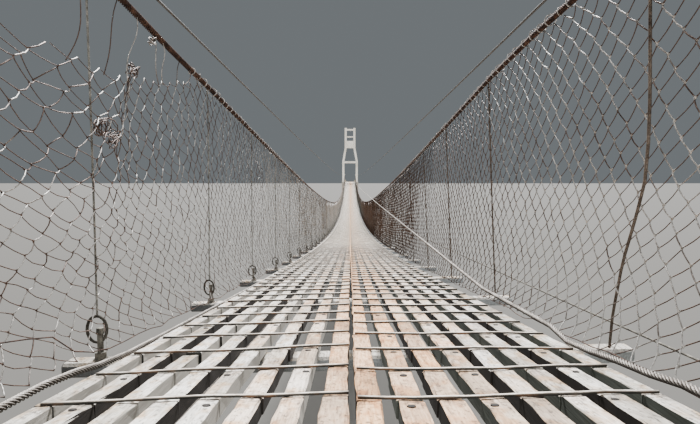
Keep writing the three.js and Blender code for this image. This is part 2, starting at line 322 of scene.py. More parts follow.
# right hangers, nail heads, left hangers, shackles, and last eye bolts with the guard rope
brownRod = makeRustySteel("brownRod", [(0.3, "#453a32"), (0.5, "#71665c"), (0.8, "#9c9186")])
blackSteel = makeRustySteel("blackSteel", [(0.3, "#17130f"), (0.7, "#2b241f")])
greySteel = makeRustySteel("greySteel", [(0.3, "#4f4f4c"), (0.5, "#8b8b86"), (0.8, "#c4c4bf")])
darkSteel = makeRustySteel("darkSteel", [(0.3, "#26231f"), (0.5, "#45413a"), (0.8, "#6f6b62")])
dullSteel = makeRustySteel("dullSteel", [(0.3, "#4a4741"), (0.5, "#79756c"), (0.8, "#a6a298")])
wireRope = makeWireRope()
dustyRodWithPaintedLight = makeStripRod()
castConcrete = makeConcrete("castConcrete", [(0.3, "#ece6d6"), (0.5, "#f6f2e7"), (0.7, "#fdfaf2")], 0.35)
bareConcrete = makeConcrete("bareConcrete", [(0.3, "#8f8a7e"), (0.5, "#b0aa9c"), (0.7, "#c9c3b5")], 0.55)
print("materials made")


def addPiece(name, surface, material, replaced=(), smooth=True, values=None):
    points, *faceGroups = surface  # the faces of a group have the same number of corners
    mesh = bpy.data.meshes.new(name)
    corners = np.concatenate([group.ravel() for group in faceGroups])
    lengths = np.concatenate([np.full(len(group), group.shape[1]) for group in faceGroups])
    mesh.vertices.add(len(points))
    mesh.vertices.foreach_set("co", np.asarray(points, np.float32).ravel())
    mesh.loops.add(len(corners))
    mesh.loops.foreach_set("vertex_index", corners.astype(np.int32))
    mesh.polygons.add(len(lengths))
    mesh.polygons.foreach_set("loop_start", (np.cumsum(lengths) - lengths).astype(np.int32))
    mesh.update(calc_edges=True)
    mesh.polygons.foreach_set("use_smooth", np.full(len(lengths), smooth))
    for key, numbers in (values or {}).items():
        mesh.attributes.new(key, "FLOAT", "POINT").data.foreach_set("value", np.asarray(numbers, np.float32))
    mesh.materials.append(material)
    piece = bpy.data.objects.new(name, mesh)
    bpy.context.scene.collection.objects.link(piece)
    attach(piece, "root")
    if replaced:
        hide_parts(*replaced)


def ringFaces(count, rings, corners):  # side faces, then end caps, of bars that are all alike
    index = np.arange(count * rings * corners).reshape(count, rings, corners)
    turned = np.roll(index, -1, axis=2)
    quads = np.stack([index[:, :-1], turned[:, :-1], turned[:, 1:], index[:, 1:]], -1).reshape(-1, 4)
    return quads, np.concatenate([index[:, 0, ::-1], index[:, -1]])


def bars(lines, radius, corners, across, turn=0.0, shape=1.0):
    # lines: (count, steps, 3); across: a direction that no line runs along; turn: twist of each ring
    # shape: the corners' distances from the line, in radii
    lines = np.asarray(lines, float)
    count, steps = lines.shape[:2]
    along = np.gradient(lines, axis=1)
    along /= np.linalg.norm(along, axis=2, keepdims=True)
    first = np.cross(along, np.asarray(across, float))
    first /= np.linalg.norm(first, axis=2, keepdims=True)
    second = np.cross(along, first)
    angles = np.arange(corners) * 2 * np.pi / corners + np.asarray(turn)[..., None]
    size = np.broadcast_to(radius, (count, steps))[:, :, None] * shape
    cosine, sine = (np.cos(angles) * size)[..., None], (np.sin(angles) * size)[..., None]
    points = lines[:, :, None] + first[:, :, None] * cosine + second[:, :, None] * sine
    return points.reshape(-1, 3), *ringFaces(count, steps, corners)


# Boards: eight a side, butted under every strip; the left rows run a little askew, and two right ones near
# the gate are bent away from it
board = {
    "rows": 325,
    "innerEdges": {
        -1: (0.0047, 0.0489, 0.0895, 0.1316, 0.1721, 0.2117, 0.2537, 0.2930),
        1: (0.0025, 0.0428, 0.0825, 0.1230, 0.1630, 0.2037, 0.2455, 0.2870),
    },
    "widths": {
        -1: (0.0245, 0.0225, 0.0235, 0.0210, 0.0225, 0.0220, 0.0205, 0.0195),
        1: (0.0240, 0.0250, 0.0245, 0.0240, 0.0235, 0.0240, 0.0225, 0.0215),
    },
    "oddDepth": 0.0198,
    "evenDepth": 0.0196,
    "endGap": 0.0010,
    "skewLeft": 0.035,
    "widerPlaces": (-15.8, -14.2, -13.0, -12.0),  # the far boards lie closer together
    "wider": (0.0, 0.0022, 0.0050, 0.0074),
    # side, place, somewhere along the board, and the length that its far end has lost
    "cutBoards": ((-1, 5, -16.58, 0.016),),
    "firstRow": {-1: 0.0050, 1: 0.0916},
    "bentRows": ((5, 0.019, 0.0, 0.30), (6, 0.016, 0.16, 0.26)),  # row, shift, and where it starts and ends
    "strayWidth": 0.0007,
    "strayPlace": 0.0006,
    "strayDepth": 0.0012,
    "strayHeight": 0.0009,
    "turn": 0.007,
    "tilt": 0.018,
    "edgeWear": (0.0009, 0.0024),
    "ragged": 0.0005,
    "worn": 0.0004,
    # how far every second left board's sides are painted pale as lit
    "dustAndLitSides": 0.95,  # on every second left board
    "warmth": {-1: 0.70, 1: 1.15},  # of the innermost boards; it fades outwards
    "warmthFade": 4.5,
}
rowSpacing = 2 * halfSpan / board["rows"]


def rowPlace(side, row, x):  # where a strip crosses a board joint, along the bridge
    skew = board["skewLeft"] if side < 0 else 0.0
    place = -halfSpan + board["firstRow"][side] + row * rowSpacing - skew * np.abs(x)
    for bentRow, shift, bendFrom, bendTo in board["bentRows"] if side > 0 else ():
        place = place + shift * smoothStep(x, bendFrom, bendTo) * (np.asarray(row) == bentRow)
    return place


def boardMiddle(side, place):  # across the bridge
    return side * (board["innerEdges"][side][place] + board["widths"][side][place] / 2)


def makeBoards():
    random = np.random.default_rng(11)
    place = np.tile(np.arange(8), 2)
    side = np.repeat([-1, 1], 8)
    widths = np.array([board["widths"][s][p] for s, p in zip(side, place)])
    middleX = np.array([boardMiddle(s, p) for s, p in zip(side, place)])
    rows = np.arange(-2, board["rows"] + 3)
    joints = np.array([rowPlace(s, rows, x) for s, x in zip(side, middleX)])
    nextJoints = np.array([rowPlace(s, rows + 1, x) for s, x in zip(side, middleX)])
    for number, (low, high) in enumerate(sectionBoxes):
        fine = number == 0
        slat, row = np.nonzero((joints > low.y - rowSpacing / 2) & (joints <= high.y - rowSpacing / 2))
        start = np.maximum(joints[slat, row] + board["endGap"] / 2, -halfSpan + 0.001)
        end = np.minimum(nextJoints[slat, row] - board["endGap"] / 2, halfSpan - 0.001)
        kept = end - start > 0.02
        slat, start, end = slat[kept], start[kept], end[kept]
        count = len(slat)
        for cutSide, cutPlace, cutY, lost in board["cutBoards"]:
            same = (side[slat] == cutSide) & (place[slat] == cutPlace) & (start < cutY) & (end > cutY)
            end = end - lost * same
        wider = np.interp(start, board["widerPlaces"], board["wider"])
        half = widths[slat] / 2 + random.uniform(-board["strayWidth"], board["strayWidth"], count) + wider
        centre = middleX[slat] + random.uniform(-board["strayPlace"], board["strayPlace"], count)
        odd = place[slat] % 2 == 1
        left = side[slat] < 0
        # sides painted pale as lit: every second left board, and the far boards more with distance
        dustAndLitSides = np.where(odd & left, board["dustAndLitSides"], 0.0)
        dustAndLitSides = np.maximum(dustAndLitSides, wider / board["wider"][-1])
        depth = np.where(odd, board["oddDepth"], board["evenDepth"])
        depth = depth - random.uniform(0, board["strayDepth"], count)
        lift = random.uniform(-board["strayHeight"], 0, count)
        turn = random.normal(0, board["turn"], count)
        tilt = random.normal(0, board["tilt"], count)
        wear = random.uniform(*board["edgeWear"], count)
        sectionX = np.stack([-half, -half, -half + wear, half - wear, half, half], 1)
        sectionZ = np.stack([-depth, -wear, 0 * wear, 0 * wear, -wear, -depth], 1)
        shares = np.array([0, 0.03, 0.25, 0.5, 0.75, 0.97, 1]) if fine else np.array([0, 1])
        ends = np.array([1, 0.9, 0.1, 0, 0.1, 0.8, 1]) if fine else np.array([0.25, 0.25])
        steps = len(shares)
        stations = start[:, None] + (end - start)[:, None] * shares
        x = np.repeat(sectionX[:, None], steps, 1)
        y = np.repeat(stations[:, :, None], 6, 2)
        z = np.repeat(sectionZ[:, None], steps, 1)
        if fine:  # ends and top edges worn by feet, never quite straight
            endDip = np.where((shares == 0) | (shares == 1), board["worn"], 0)[:, None]
            z = z - endDip * np.array([0, 0.6, 1, 1, 0.6, 0])
            x[..., 1:5] += random.normal(0, board["ragged"], x[..., 1:5].shape)
            z[..., 2:4] -= np.abs(random.normal(0, board["worn"], z[..., 2:4].shape))
        y = y + board["skewLeft"] * x * np.where(left, 1, 0)[:, None, None]
        z = z + lift[:, None, None] + x * tilt[:, None, None]
        x = x + centre[:, None, None] + (y - y.mean((1, 2), keepdims=True)) * turn[:, None, None]
        y = np.clip(y, -halfSpan + 0.0005, halfSpan - 0.0005)
        z = z + boardTop(x, y)
        points = np.stack([x, y, z], -1).reshape(-1, 3)
        perBoard = steps * 6
        warmth = np.where(left, board["warmth"][-1], board["warmth"][1]) - place[slat] / board["warmthFade"]
        warmth = warmth + random.normal(0, 0.15, count)
        addPiece(
            f"boards_{number + 1}",
            (points, *ringFaces(count, steps, 6)),
            weatheredTimber,
            [f"deck_section_{number + 1}"],
            smooth=False,
            values={
                "tone": np.repeat(random.uniform(0, 1, count), perBoard),
                "warmth": np.repeat(np.clip(warmth, 0, 1), perBoard),
                # the even boards' sides are painted near black as shade
                "paintedShade": np.repeat(np.where(odd, 0.0, 1.0), perBoard),
                "dustAndLitSides": np.repeat(dustAndLitSides, perBoard),
                "ends": np.tile(np.repeat(ends, 6), count),
            },
        )


# Strips: a round rod across each half at every board joint, a little wavy and kinked
strip = {
    "radius": 0.0019,
    "unevenness": (0.8, 1.1),
    "thicker": 0.35,  # beyond the nearest strips
    "thickerFrom": -16.6,
    "thickerTo": -15.8,
    "innerX": 0.0045,
    "outerX": 0.3045,
    "waveUp": 0.0005,
    "waveAlong": 0.0015,
    "slant": 0.004,
    "kink": 0.0006,
    "steps": 12,
    "corners": 6,
    # the strips' undersides are painted pale as lit from here on
    "litUndersideFrom": -13.8,
    "litUndersideTo": -11.4,
}


def makeStrips():
    random = np.random.default_rng(5)
    across = np.linspace(0, 1, strip["steps"])
    for name, side in sides:
        rows = np.arange(1, board["rows"])[:, None]
        count = len(rows)
        x = side * (strip["innerX"] + (strip["outerX"] - strip["innerX"]) * across)
        phase = random.uniform(0, 6.3, (count, 3))
        wave = np.sin(phase[:, :1] + across * 5) + 0.6 * np.sin(phase[:, 1:2] + across * 11)
        slant = random.normal(0, strip["slant"], (count, 1)) * (across - 0.5)
        kinks = random.normal(0, strip["kink"], (count, strip["steps"]))
        y = np.maximum(rowPlace(side, rows, x), -halfSpan + 0.004)
        y = y + strip["waveAlong"] * wave + slant + kinks
        z = boardTop(x, y) + strip["radius"] * 0.8 + strip["waveUp"] * np.sin(phase[:, 2:] + across * 8)
        lines = np.stack([np.broadcast_to(x, y.shape), y, z], -1)
        thickness = 1 + strip["thicker"] * smoothStep(y, strip["thickerFrom"], strip["thickerTo"])
        radius = strip["radius"] * thickness * random.uniform(*strip["unevenness"], (count, strip["steps"]))
        surface = bars(lines, radius, strip["corners"], (0, 0, 1))
        dustAndLitSides = smoothStep(y[:, 0], strip["litUndersideFrom"], strip["litUndersideTo"])
        dustAndLitSides = np.repeat(dustAndLitSides, strip["corners"] * strip["steps"])
        addPiece(f"{name}_strips", surface, dustyRodWithPaintedLight, values={"dustAndLitSides": dustAndLitSides})


# Crossbeams: sawn timber with rounded ends, one at every pair of hangers
beam = {
    "leftEnd": -0.430,
    "rightEnd": 0.445,
    "askew": 0.055,
    "width": 0.034,
    "depth": 0.022,
    "round": 0.004,
    "endSize": 0.72,
}


def beamPlace(x):  # along the bridge: the right end of every crossbeam lies a little further on
    return bays + beam["askew"] * (x - beam["leftEnd"])


def makeCrossbeams():
    w, d, r = beam["width"] / 2, beam["depth"], beam["round"]
    corners = [(w, -d + r), (w, -r), (w - r, 0), (-w + r, 0)]
    corners += [(-w, -r), (-w, -d + r), (-w + r, -d), (w - r, -d)]
    profile = np.array(corners)
    left, right = beam["leftEnd"], beam["rightEnd"]
    stations = np.array([left, left + r, right - r, right])
    shrink = np.array([beam["endSize"], 1, 1, beam["endSize"]])
    middle = np.array([0, -d / 2])
    section = middle + (profile - middle)[None] * shrink[:, None, None]
    x = np.broadcast_to(stations[None, :, None], (bayCount, len(stations), len(profile)))
    places = np.stack([beamPlace(station) for station in stations], 1)[:, :, None]
    y = places + section[None, :, :, 0]
    z = beamTop(x, places) + section[None, :, :, 1]
    tone = np.repeat(np.random.default_rng(3).uniform(0.2, 0.8, bayCount), section.size // 2)
    points = np.stack([x, y, z], -1).reshape(-1, 3)
    paintedShade = np.where(points[:, 0] < 0, 0.8, 0.0)  # the left ends get painted shade, the right ones keep their sides painted pale as lit
    values = {"tone": tone, "warmth": 0 * tone, "paintedShade": paintedShade, "dustAndLitSides": 0 * tone}
    surface = (points, *ringFaces(*x.shape))
    addPiece("crossbeams", surface, litSidesTimber, smooth=False, values=values)


# Nails: flat dark heads on some boards, just before each strip
nail = {
    "radius": 0.0030,
    "height": 0.0004,
    "before": 0.020,
    "reach": 5.0,
    "chances": ((1, 0.9), (3, 0.8), (5, 0.35), (6, 0.8)),  # board's place, share of its boards with a nail
    "strayAlong": 0.005,
    "strayAcross": 0.006,
    "oval": (1.4, 1.15, 0.8, 1.15) * 2,  # wider than long, as they were struck
}


def makeNails():
    random = np.random.default_rng(21)
    heads = []
    for side in (-1, 1):
        for place, chance in nail["chances"]:
            x = boardMiddle(side, place)
            rows = np.arange(1, int(nail["reach"] / rowSpacing))
            rows = rows[random.uniform(0, 1, len(rows)) < chance]
            y = rowPlace(side, rows, x) - nail["before"]
            y = y + random.uniform(-nail["strayAlong"], nail["strayAlong"], len(rows))
            headX = x + random.uniform(-nail["strayAcross"], nail["strayAcross"], len(rows))
            kept = y > -halfSpan + 0.01
            heads.append(np.stack([headX, y, boardTop(headX, y)], 1)[kept])
    heads = np.concatenate(heads)
    rise = np.array([-0.002, nail["height"] * 0.6, nail["height"]])
    lines = heads[:, None] + np.stack([0 * rise, 0 * rise, rise], 1)
    radii = np.broadcast_to(np.array([1.0, 1.0, 0.7]) * nail["radius"], lines.shape[:2])
    surface = bars(lines, radii, 8, (0, 1, 0), shape=np.array(nail["oval"]))
    addPiece("nail_heads", surface, blackSteel, smooth=False)


# Net: chain-link diamonds, each upright wire a flattened spiral hooked into the next one; the wires lean
# towards the near gate, more on the left, where the net hangs loose off its cable between two ties
net = {
    "cellLong": 0.045,
    "cellHigh": 0.038,
    "brightRadius": {-1: 0.00085, 1: 0.0011},
    "dullRadius": {-1: 0.00065, 1: 0.0008},
    "bow": {-1: 0.0016, 1: 0.0006},
    "tangle": {-1: 1.3, 1: 0.0},
    "farRadius": {-1: 0.0011, 1: 0.0016},
    "knot": {-1: 1.15, 1: 1.5},
    "topX": 0.3690,
    "bottomX": 0.400,
    "tuck": 0.034,  # the lowest corners are drawn in to the deck
    "bottom": -0.012,
    "belly": (0.009, 0.005),
    "sway": (0.010, 0.004),
    "lift": 0.006,
    "leaning": {-1: -0.62, 1: -0.40},
    "footBow": {-1: 0.0, 1: 0.08},
    "headBow": {-1: 0.0, 1: 0.10},
    "pull": {-1: 0.18, 1: 0.0},
    "stretch": {-1: 0.14, 1: 0.05},
    "slackDip": 0.135,
    "slackEnd": -15.98,
    "fineTo": 2.6,
    "mediumTo": 8.0,
    "jitter": {-1: 0.0020, 1: 0.0012},
}
# added to the rust patches of the wires: under 0.6 the zinc holds, over 0.85 it is gone
netRust = {
    "knot": {-1: 0.45, 1: -0.2},
    "worn": {-1: (-0.15, 0.45), 1: (-0.15, 0.30)},
    # the other slope's wires, painted rustier as shade
    "shadedSlope": 0.4,
    "loose": 0.22,
    "nearEnd": {-1: 0.05, 1: 0.5},
    "middle": {-1: 0.05, 1: 0.2},
    # the turned slope in the middle stretch, painted rustier as shade
    "turned": 0.15,
    "farPlaces": (-7, 1),
    "far": {-1: (0.05, -0.2), 1: (0.65, 0.0)},
}
netRows = round((deck["handHeight"] - net["bottom"]) / (net["cellHigh"] / 2))
netColumns = int(2 * halfSpan / (net["cellLong"] / 2))
netStep = 2 * halfSpan / netColumns
netJitter = np.random.default_rng(17).normal(0, 1, (2, netColumns + 2, netRows + 1, 3))


def netTop(side, y):  # height of the net's upper edge above the boards
    full = handAbove(side, y) - deck["handRadius"] - 0.002
    if side > 0:
        return full
    share = np.clip((y + halfSpan) / (net["slackEnd"] + halfSpan), 0, 1)
    return full - net["slackDip"] * (4 * share * (1 - share)) ** 1.5


def netPlace(side, y, share, outward=0.0):  # share: 0 at the lower edge, 1 at the hand cable
    slack = np.sin(np.pi * share)
    wide, small = net["belly"]
    belly = slack * (wide * np.sin(1.9 * y + side) + small * np.sin(4.3 * y + 2 * side + 3 * share))
    wide, small = net["sway"]
    sway = slack * (wide * np.sin(2.7 * y + 1 + 2 * side) + small * np.sin(6.1 * y + 5 * share))
    height = deck["handHeight"] - net["bottom"]
    bow = net["leaning"][side] * share + net["footBow"][side] * (1 - share) ** 7
    bow = bow + net["headBow"][side] * share ** 8
    upright = 1 - smoothStep(np.abs(y), 16.75, halfSpan)  # the last wires stand along the gates' posts
    placeY = y + (height * bow + sway) * upright
    # near the gate the upper corners are drawn forwards, and on the left back to the tie behind them
    tied = smoothStep(placeY, -halfSpan, -17.0) * (1 - smoothStep(placeY, -16.60, -16.36))
    drawn = np.interp(placeY, (-halfSpan, -16.75, -16.50), (0, 1, 0))
    placeY = placeY + net["pull"][side] * share ** 2 * tied - net["stretch"][side] * share ** 1.5 * drawn
    placeY = np.clip(placeY, -halfSpan + 0.004, halfSpan - 0.004)
    low, top = net["bottom"], netTop(side, placeY)
    lift = slack * net["lift"] * np.sin(3.3 * y + 4 * share + side)
    x = net["bottomX"] + (net["topX"] - net["bottomX"]) * share ** 0.8 + belly + outward
    x = side * (x - net["tuck"] * (1 - share) ** 12)
    return np.stack([x, placeY, deckLevel(placeY) + low + share * (top - low) + lift], -1)


def looseness(y, share):  # 1 in the upper corner of the near net
    return smoothStep(share, 0.40, 0.75) * (1 - smoothStep(y, -16.45, -16.05))


def netCrossings(side, wires, gap):  # corners of the upright zigzag wires
    corner = np.arange(netRows + 1)
    turned = (corner + wires) % 2
    y = -halfSpan + (wires + turned) * netStep + np.where(turned == 1, gap, -gap)
    share = np.broadcast_to(corner / netRows, y.shape)
    tangled = 1 + net["tangle"][side] * looseness(y, share)[..., None]
    stray = netJitter[(side + 1) // 2, wires + turned, corner] * net["jitter"][side] * tangled
    return turned, y, share, stray


def makeNet():
    for name, side in sides:
        replaced = [f"{name}_net_panel_{i + 1}" for i in range(6)]
        r, knot = net["brightRadius"][side], net["knot"][side]
        fineCount, mediumCount = int(net["fineTo"] / netStep), int(net["mediumTo"] / netStep)
        # near stretch: every corner bends round its neighbour, one slope inside and the other outside, the
        # outer slope painted rustier as shade
        turned, y, share, stray = netCrossings(side, np.arange(fineCount)[:, None], r)
        bright = turned[:, :-1] == 0
        random = np.random.default_rng(23)
        worn = random.uniform(*netRust["worn"][side], bright.shape)
        bow = net["bow"][side] * random.normal(0.4, 0.9, (2,) + bright.shape)
        places, radii, rusts = [], [], []
        for part, away in ((0.0, 0), (0.16, 1), (0.5, 1.25), (0.84, 1)):
            between = [a[:, :-1] + (a[:, 1:] - a[:, :-1]) * part for a in (y, share, stray)]
            outward = away * r * 1.2 * np.where(bright, -1, 1)
            place = netPlace(side, between[0], between[1], outward) + between[2]
            place[..., 1] += bow[0] * np.sin(np.pi * part) * np.where(bright, 1, -1)
            place[..., 2] -= bow[1] * np.sin(np.pi * part)
            places.append(place)
            plain = np.where(bright, r, net["dullRadius"][side])
            radii.append(plain if part else np.full(bright.shape, r * knot))
            loose = looseness(between[0], between[1]) * netRust["loose"]
            sloping = np.where(bright, worn, netRust["shadedSlope"])
            rusts.append((sloping if part else np.full(bright.shape, netRust["knot"][side])) + loose)
        lines = np.stack(places, 2).reshape(fineCount, -1, 3)
        fine = bars(lines, np.stack(radii, 2).reshape(fineCount, -1), 4, (1, 0, 0))
        far = smoothStep(lines[..., 1], -16.5, -15.5) * netRust["nearEnd"][side]
        rust = np.stack(rusts, 2).reshape(fineCount, -1) + far
        values = {"rust": np.repeat(rust.ravel(), 4)}
        addPiece(f"{name}_net_near", fine, galvanisedWire, replaced, values=values)
        # middle stretch: plain zigzags, rustier further off, the turned slope painted rustier as shade
        turned, y, share, stray = netCrossings(side, np.arange(fineCount, mediumCount + netRows)[:, None], 0)
        swelling = smoothStep(y, -halfSpan + net["fineTo"], -halfSpan + 4.0)
        radius = r + (net["farRadius"][side] - r) * swelling
        middle = bars(netPlace(side, y, share) + stray, radius, 3, (1, 0, 0))
        far = swelling * netRust["middle"][side] + netRust["nearEnd"][side]
        rust = np.repeat(np.where(turned == 0, 0.0, netRust["turned"]) + far, 3, axis=1).ravel()
        addPiece(f"{name}_net_middle", middle, galvanisedWire, values={"rust": rust})
        # far stretch: the same diamonds as two sets of slanting wires
        reach = netRows * netStep
        starts = -halfSpan + np.arange(mediumCount // 2 * 2, netColumns - netRows, 2)[:, None] * netStep
        share = np.broadcast_to(np.linspace(0, 1, 7), (len(starts), 7))
        slants = [netPlace(side, starts + part * reach, share) for part in (share, 1 - share)]
        far = bars(np.concatenate(slants), net["farRadius"][side], 3, (1, 0, 0))
        rust = np.interp(far[0][:, 1], netRust["farPlaces"], netRust["far"][side])
        material = wornWire if side > 0 else galvanisedWire
        addPiece(f"{name}_net_far", far, material, values={"rust": rust})


# Selvage: a rusty wire through the lowest corners of each net; the near left end is lifted
selvage = {
    "radius": 0.0009,
    "step": 0.05,
    "wave": 0.0025,
    "lift": 0.055,
    "liftFrom": -16.54,
    "liftTo": -16.68,
}


def makeSelvages():
    random = np.random.default_rng(8)
    y = np.arange(-halfSpan + 0.01, halfSpan - 0.01, selvage["step"])
    for name, side in sides:
        wave = random.normal(0, selvage["wave"], (2, len(y)))
        z = deckLevel(y) + net["bottom"] + wave[0]
        if side < 0:
            z = z + selvage["lift"] * smoothStep(-y, -selvage["liftFrom"], -selvage["liftTo"])
        line = np.stack([side * (net["bottomX"] - net["tuck"] + wave[1] * 0.5), y, z], 1)[None]
        surface = bars(line, selvage["radius"], 5, (0, 0, 1))
        addPiece(f"{name}_selvage", surface, rustySteel)


# Cable ties: every upright wire of the net is wound once round the hand cable
tie = {
    "radius": 0.0012,
    "loop": 0.0078,
    "sizes": (0.85, 1.3),
    "slant": 0.006,
    "stray": 0.004,
    "reach": 4.0,
    "steps": 11,
    "rust": (-0.2, 0.25),
}


def makeTies():
    random = np.random.default_rng(13)
    y = -halfSpan + np.arange(0.03, tie["reach"], net["cellLong"])
    angle = np.linspace(0, 2 * np.pi, tie["steps"])
    for name, side in sides:
        kept = y[y > net["slackEnd"] - 0.1] if side < 0 else y
        count = len(kept)
        start = random.uniform(0, 6.3, (count, 1))
        loop = tie["loop"] * random.uniform(*tie["sizes"], (count, 1))
        slant = random.uniform(-tie["slant"], tie["slant"], (count, 1))
        middleY = kept[:, None] + random.normal(0, tie["stray"], (count, 1))
        x = side * handX + loop * np.cos(start + angle)
        z = deckLevel(middleY) + handAbove(side, middleY) + loop * np.sin(start + angle)
        lines = np.stack([x, middleY + slant * np.cos(angle), z], -1)
        surface = bars(lines, tie["radius"], 3, (0, 1, 0))
        rust = np.repeat(random.uniform(*tie["rust"], count), tie["steps"] * 3)
        addPiece(f"{name}_cable_ties", surface, galvanisedWire, values={"rust": rust})


# Loose ties: thin rusty wires that hold up the slack part of the near left net
looseTie = {"radius": 0.0009, "from": -16.50, "to": -16.02, "count": 8, "steps": 14, "bend": 0.006}


def makeLooseTies():
    random = np.random.default_rng(41)
    count, share = looseTie["count"], np.linspace(0, 1, looseTie["steps"])
    top = np.linspace(looseTie["from"], looseTie["to"], count) + random.normal(0, 0.02, count)
    low = top + random.normal(-0.02, 0.03, count)
    y = top[:, None] + (low - top)[:, None] * share
    start = deckLevel(top) + handAbove(-1, top) + deck["handRadius"]
    end = deckLevel(low) + netTop(-1, low) - 0.012
    bends = random.normal(0, looseTie["bend"], (count, 2, 1))
    curve = np.sin(np.pi * share) * bends[:, 0] + np.sin(2 * np.pi * share) * bends[:, 1]
    x = -handX + curve * 0.5 + 0 * y
    lines = np.stack([x, y + curve, start[:, None] + (end - start)[:, None] * share], -1)
    surface = bars(lines, looseTie["radius"], 4, (1, 0, 0))
    rust = np.repeat(random.uniform(0.0, 0.5, count), looseTie["steps"] * 4)
    addPiece("loose_ties", surface, galvanisedWire, values={"rust": rust})


# Wire clumps: loose ends wound together on the near left net and at its cable
clump = {
    "radius": 0.0009,
    "steps": 40,
    "sizes": (0.030, 0.022),
    "places": (  # x, y and the height above the boards
        (-0.372, -16.37, 0.440),
        (-0.382, -16.46, 0.325),
        (-0.384, -16.42, 0.315),
        (-0.369, -16.29, 0.520),
    ),
}


def makeClumps():
    random = np.random.default_rng(29)
    share = np.linspace(0, 1, clump["steps"])
    lines = []
    for x, y, height in clump["places"]:
        for size in clump["sizes"]:
            turns = random.uniform(2, 4, 3) * 2 * np.pi
            phase = random.uniform(0, 6.3, 3)
            reach = np.array([0.35, 1.0, 0.6]) * size * random.uniform(0.5, 1, 3)
            fading = np.sin(np.pi * (0.15 + 0.7 * share[:, None]))
            knot = np.sin(share[:, None] * turns + phase) * reach * fading
            lines.append(knot + (x, y, float(deckLevel(y)) + height))
    surface = bars(np.array(lines), clump["radius"], 4, (0.3, 0.2, 0.9))
    rust = np.repeat(np.random.default_rng(2).uniform(0.3, 0.6, len(lines)), clump["steps"] * 4)
    addPiece("wire_clumps", surface, galvanisedWire, values={"rust": rust})


# Hangers: a rod at every crossbeam, on the left above a shackle; the second right one is bent
hanger = {
    "radius": {-1: 0.0016, 1: 0.0022},
    "bow": 0.006,
    "strayTop": 0.012,
    "footX": {-1: 0.382, 1: 0.402},
    "topX": {-1: 0.378, 1: 0.370},
    "footHeight": {-1: 0.036, 1: -0.018},
    "bentShares": (0, 0.10, 0.24, 0.34, 0.43, 0.52, 0.62, 1),
    "bentShifts": (-0.015, -0.028, -0.059, -0.091, -0.117, -0.127, -0.1325, -0.140),
}


def makeHangers():
    random = np.random.default_rng(31)
    share = np.linspace(0, 1, 24)
    for name, side in sides:
        bend = random.normal(0, hanger["bow"], bayCount)
        topShift = random.normal(0, hanger["strayTop"], bayCount)
        shift = bend[:, None] * np.sin(np.pi * share) + topShift[:, None] * share
        if side > 0:
            shift[1] = np.interp(share, hanger["bentShares"], hanger["bentShifts"])
        y = beamPlace(side * hanger["footX"][side])[:, None] + shift
        foot, top = hanger["footHeight"][side], handAbove(side, y) + deck["handRadius"]
        x = side * (hanger["footX"][side] + (hanger["topX"][side] - hanger["footX"][side]) * share)
        z = deckLevel(y) + foot + (top - foot) * share
        lines = np.stack([np.broadcast_to(x, z.shape), y, z], -1)
        surface = bars(lines, hanger["radius"][side], 8, (1, 0, 0))
        material = greySteel if side < 0 else brownRod
        addPiece(f"{name}_hangers", surface, material)


# Shackles: an oval ring at the foot of every left hanger, round an eye bolt with its nut and washer
shackle = {
    "halfWidth": 0.0144,
    "halfHeight": 0.0200,
    "wire": 0.0024,
    "middle": 0.0165,
    "outward": 0.0008,
    "turn": 0.25,
    "boltInside": 0.0045,
    "boltHeights": (0, 0.003, 0.0031, 0.012, 0.0121, 0.040, 0.0401, 0.049),
    "boltRadii": (0.0105, 0.0105, 0.0082, 0.0082, 0.0045, 0.0045, 0.0060, 0.0052),
}


def makeShackles():
    x = -hanger["footX"][-1] - shackle["outward"]
    middleY = beamPlace(x)[:, None]
    angle = np.linspace(0, 2 * np.pi, 21)
    random = np.random.default_rng(37)
    turn = random.uniform(-shackle["turn"], shackle["turn"], (bayCount, 1))
    across = shackle["halfWidth"] * np.sin(angle)
    rise = shackle["halfHeight"] * np.cos(angle)
    lines = np.stack([
        x + across * np.cos(turn),
        middleY + across * np.sin(turn),
        deckLevel(middleY) + shackle["middle"] + rise + 0 * turn,
    ], -1)
    surface = bars(lines, shackle["wire"], 8, (0, 1, 0))
    addPiece("shackles", surface, darkSteel)
    z = beamTop(x, middleY) + np.array(shackle["boltHeights"])
    lines = np.stack([np.full_like(z, x + shackle["boltInside"]), middleY + 0 * z, z], -1)
    radii = np.broadcast_to(np.array(shackle["boltRadii"]), z.shape)
    surface = bars(lines, radii, 10, (0, 1, 0))
    addPiece("eye_bolts", surface, dullSteel, smooth=False)


# Ropes: six strands twisted together near the near gate, plain round further off
rope = {
    "strands": 6,
    "lay": 0.040,
    "lobes": (0.62, 0.93, 1.0, 0.93),  # radius round one strand, from valley to valley
    # painted shade round one strand, from valley to valley
    "valleys": (1.0, 0.35, 0.0, 0.35),
    "fineTo": 2.4,
    "fineStep": 0.0029,
    "farStep": 0.12,
}


def ropeStations(start, end, corners=()):
    fineStart, fineEnd = max(start, -halfSpan), -halfSpan + rope["fineTo"]
    fine = np.arange(fineStart, fineEnd, rope["fineStep"])
    far = np.linspace(fineEnd, end, int((end - fineEnd) / rope["farStep"]))
    return np.unique(np.concatenate([[start], corners, fine, far]))


def makeRope(name, x, level, radius, y, material, node):
    line = np.stack([np.full_like(y, x), y, level], 1)[None]
    fineEnd = -halfSpan + rope["fineTo"]
    twisted = smoothStep(y, -halfSpan, -halfSpan + 0.05) * (1 - smoothStep(y, fineEnd - 0.6, fineEnd - 0.1))
    turn = 2 * np.pi * np.clip(y + halfSpan, 0, rope["fineTo"]) / rope["lay"]
    lobes = np.tile(rope["lobes"], rope["strands"])
    shape = 1 + (lobes - 1) * twisted[:, None]
    surface = bars(line, radius, len(lobes), (0, 0, 1), turn[None], shape[None])
    valley = (np.tile(rope["valleys"], rope["strands"]) * twisted[:, None]).ravel()
    addPiece(name, surface, material, [node], values={"valley": valley})


